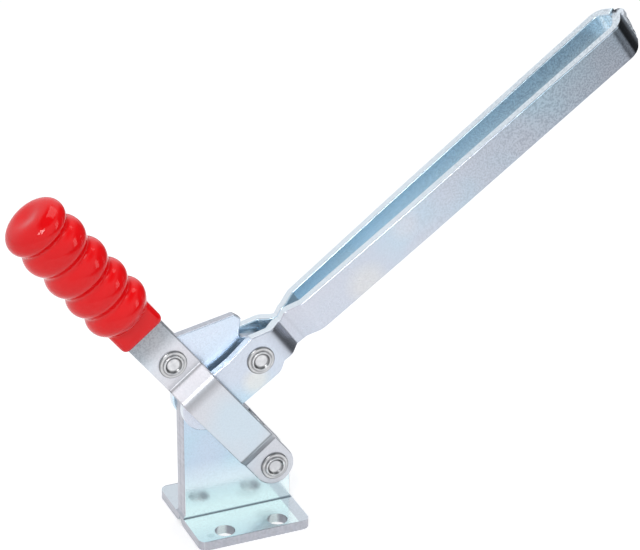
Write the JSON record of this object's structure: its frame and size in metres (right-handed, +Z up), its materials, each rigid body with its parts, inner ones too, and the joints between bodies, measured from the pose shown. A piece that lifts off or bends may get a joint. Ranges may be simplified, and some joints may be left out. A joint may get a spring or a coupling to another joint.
{
  "type": "toggle clamp",
  "caption": "Vertical-handle toggle clamp: a foot-mounted linkage turns a long slotted hold-down arm as a ribbed grip swings over.",
  "frame": {"origin": "middle of the base's underside, on the face that bolts down", "axes": "+X towards the arm's tip, +Y away from the near side, +Z up, square to the base"},
  "size_m": [0.2729, 0.0496, 0.1999],
  "materials": {
    "zinc_sheet": "bright zinc plate, pale blue passivated",
    "pivot_steel": "satin plated, slightly greyer than the sheet",
    "weld": "plated over an unground weld",
    "grip": "glossy soft vinyl"
  },
  "bodies": {
    "base": {"base_plate_near": "zinc_sheet", "base_plate_far": "zinc_sheet", "handle_pivot_bush_near": "pivot_steel", "handle_pivot_bush_far": "pivot_steel", "handle_pivot_rivet": "pivot_steel", "arm_pivot_bush_near": "pivot_steel", "arm_pivot_bush_far": "pivot_steel", "arm_pivot_rivet": "pivot_steel"},
    "handle": {"handle_plate_near": "zinc_sheet", "handle_plate_far": "zinc_sheet", "handle_link_bush_near": "pivot_steel", "handle_link_bush_far": "pivot_steel", "handle_link_rivet": "pivot_steel", "grip": "grip"},
    "link": {"link_plate": "zinc_sheet"},
    "arm": {"arm_strip_near": "zinc_sheet", "arm_strip_far": "zinc_sheet", "arm_tip_weld": "weld", "arm_link_bush_near": "pivot_steel", "arm_link_bush_far": "pivot_steel", "arm_link_rivet": "pivot_steel", "link_spacer_near": "pivot_steel", "link_spacer_far": "pivot_steel"}
  },
  "joints": [
    {"name": "handle_hinge", "type": "hinge", "parent": "base", "child": "handle", "pos_m": [0.0152, 0, 0.0228], "axis": [0, 1, 0], "range_deg": [-5, 38]},
    {"name": "arm_hinge", "type": "hinge", "parent": "base", "child": "arm", "pos_m": [-0.0148, 0, 0.0566], "axis": [0, 1, 0], "range_deg": [-6, 41]},
    {"name": "link_hinge", "type": "hinge", "parent": "handle", "child": "link", "pos_m": [-0.02819, 0, 0.07823], "axis": [0, 1, 0], "range_deg": [-7, 48]}
  ],
  "couplings": [
    {"joint": "arm_hinge", "follows": "handle_hinge", "ratio": 1.05},
    {"joint": "link_hinge", "follows": "handle_hinge", "ratio": 1.23}
  ]
}
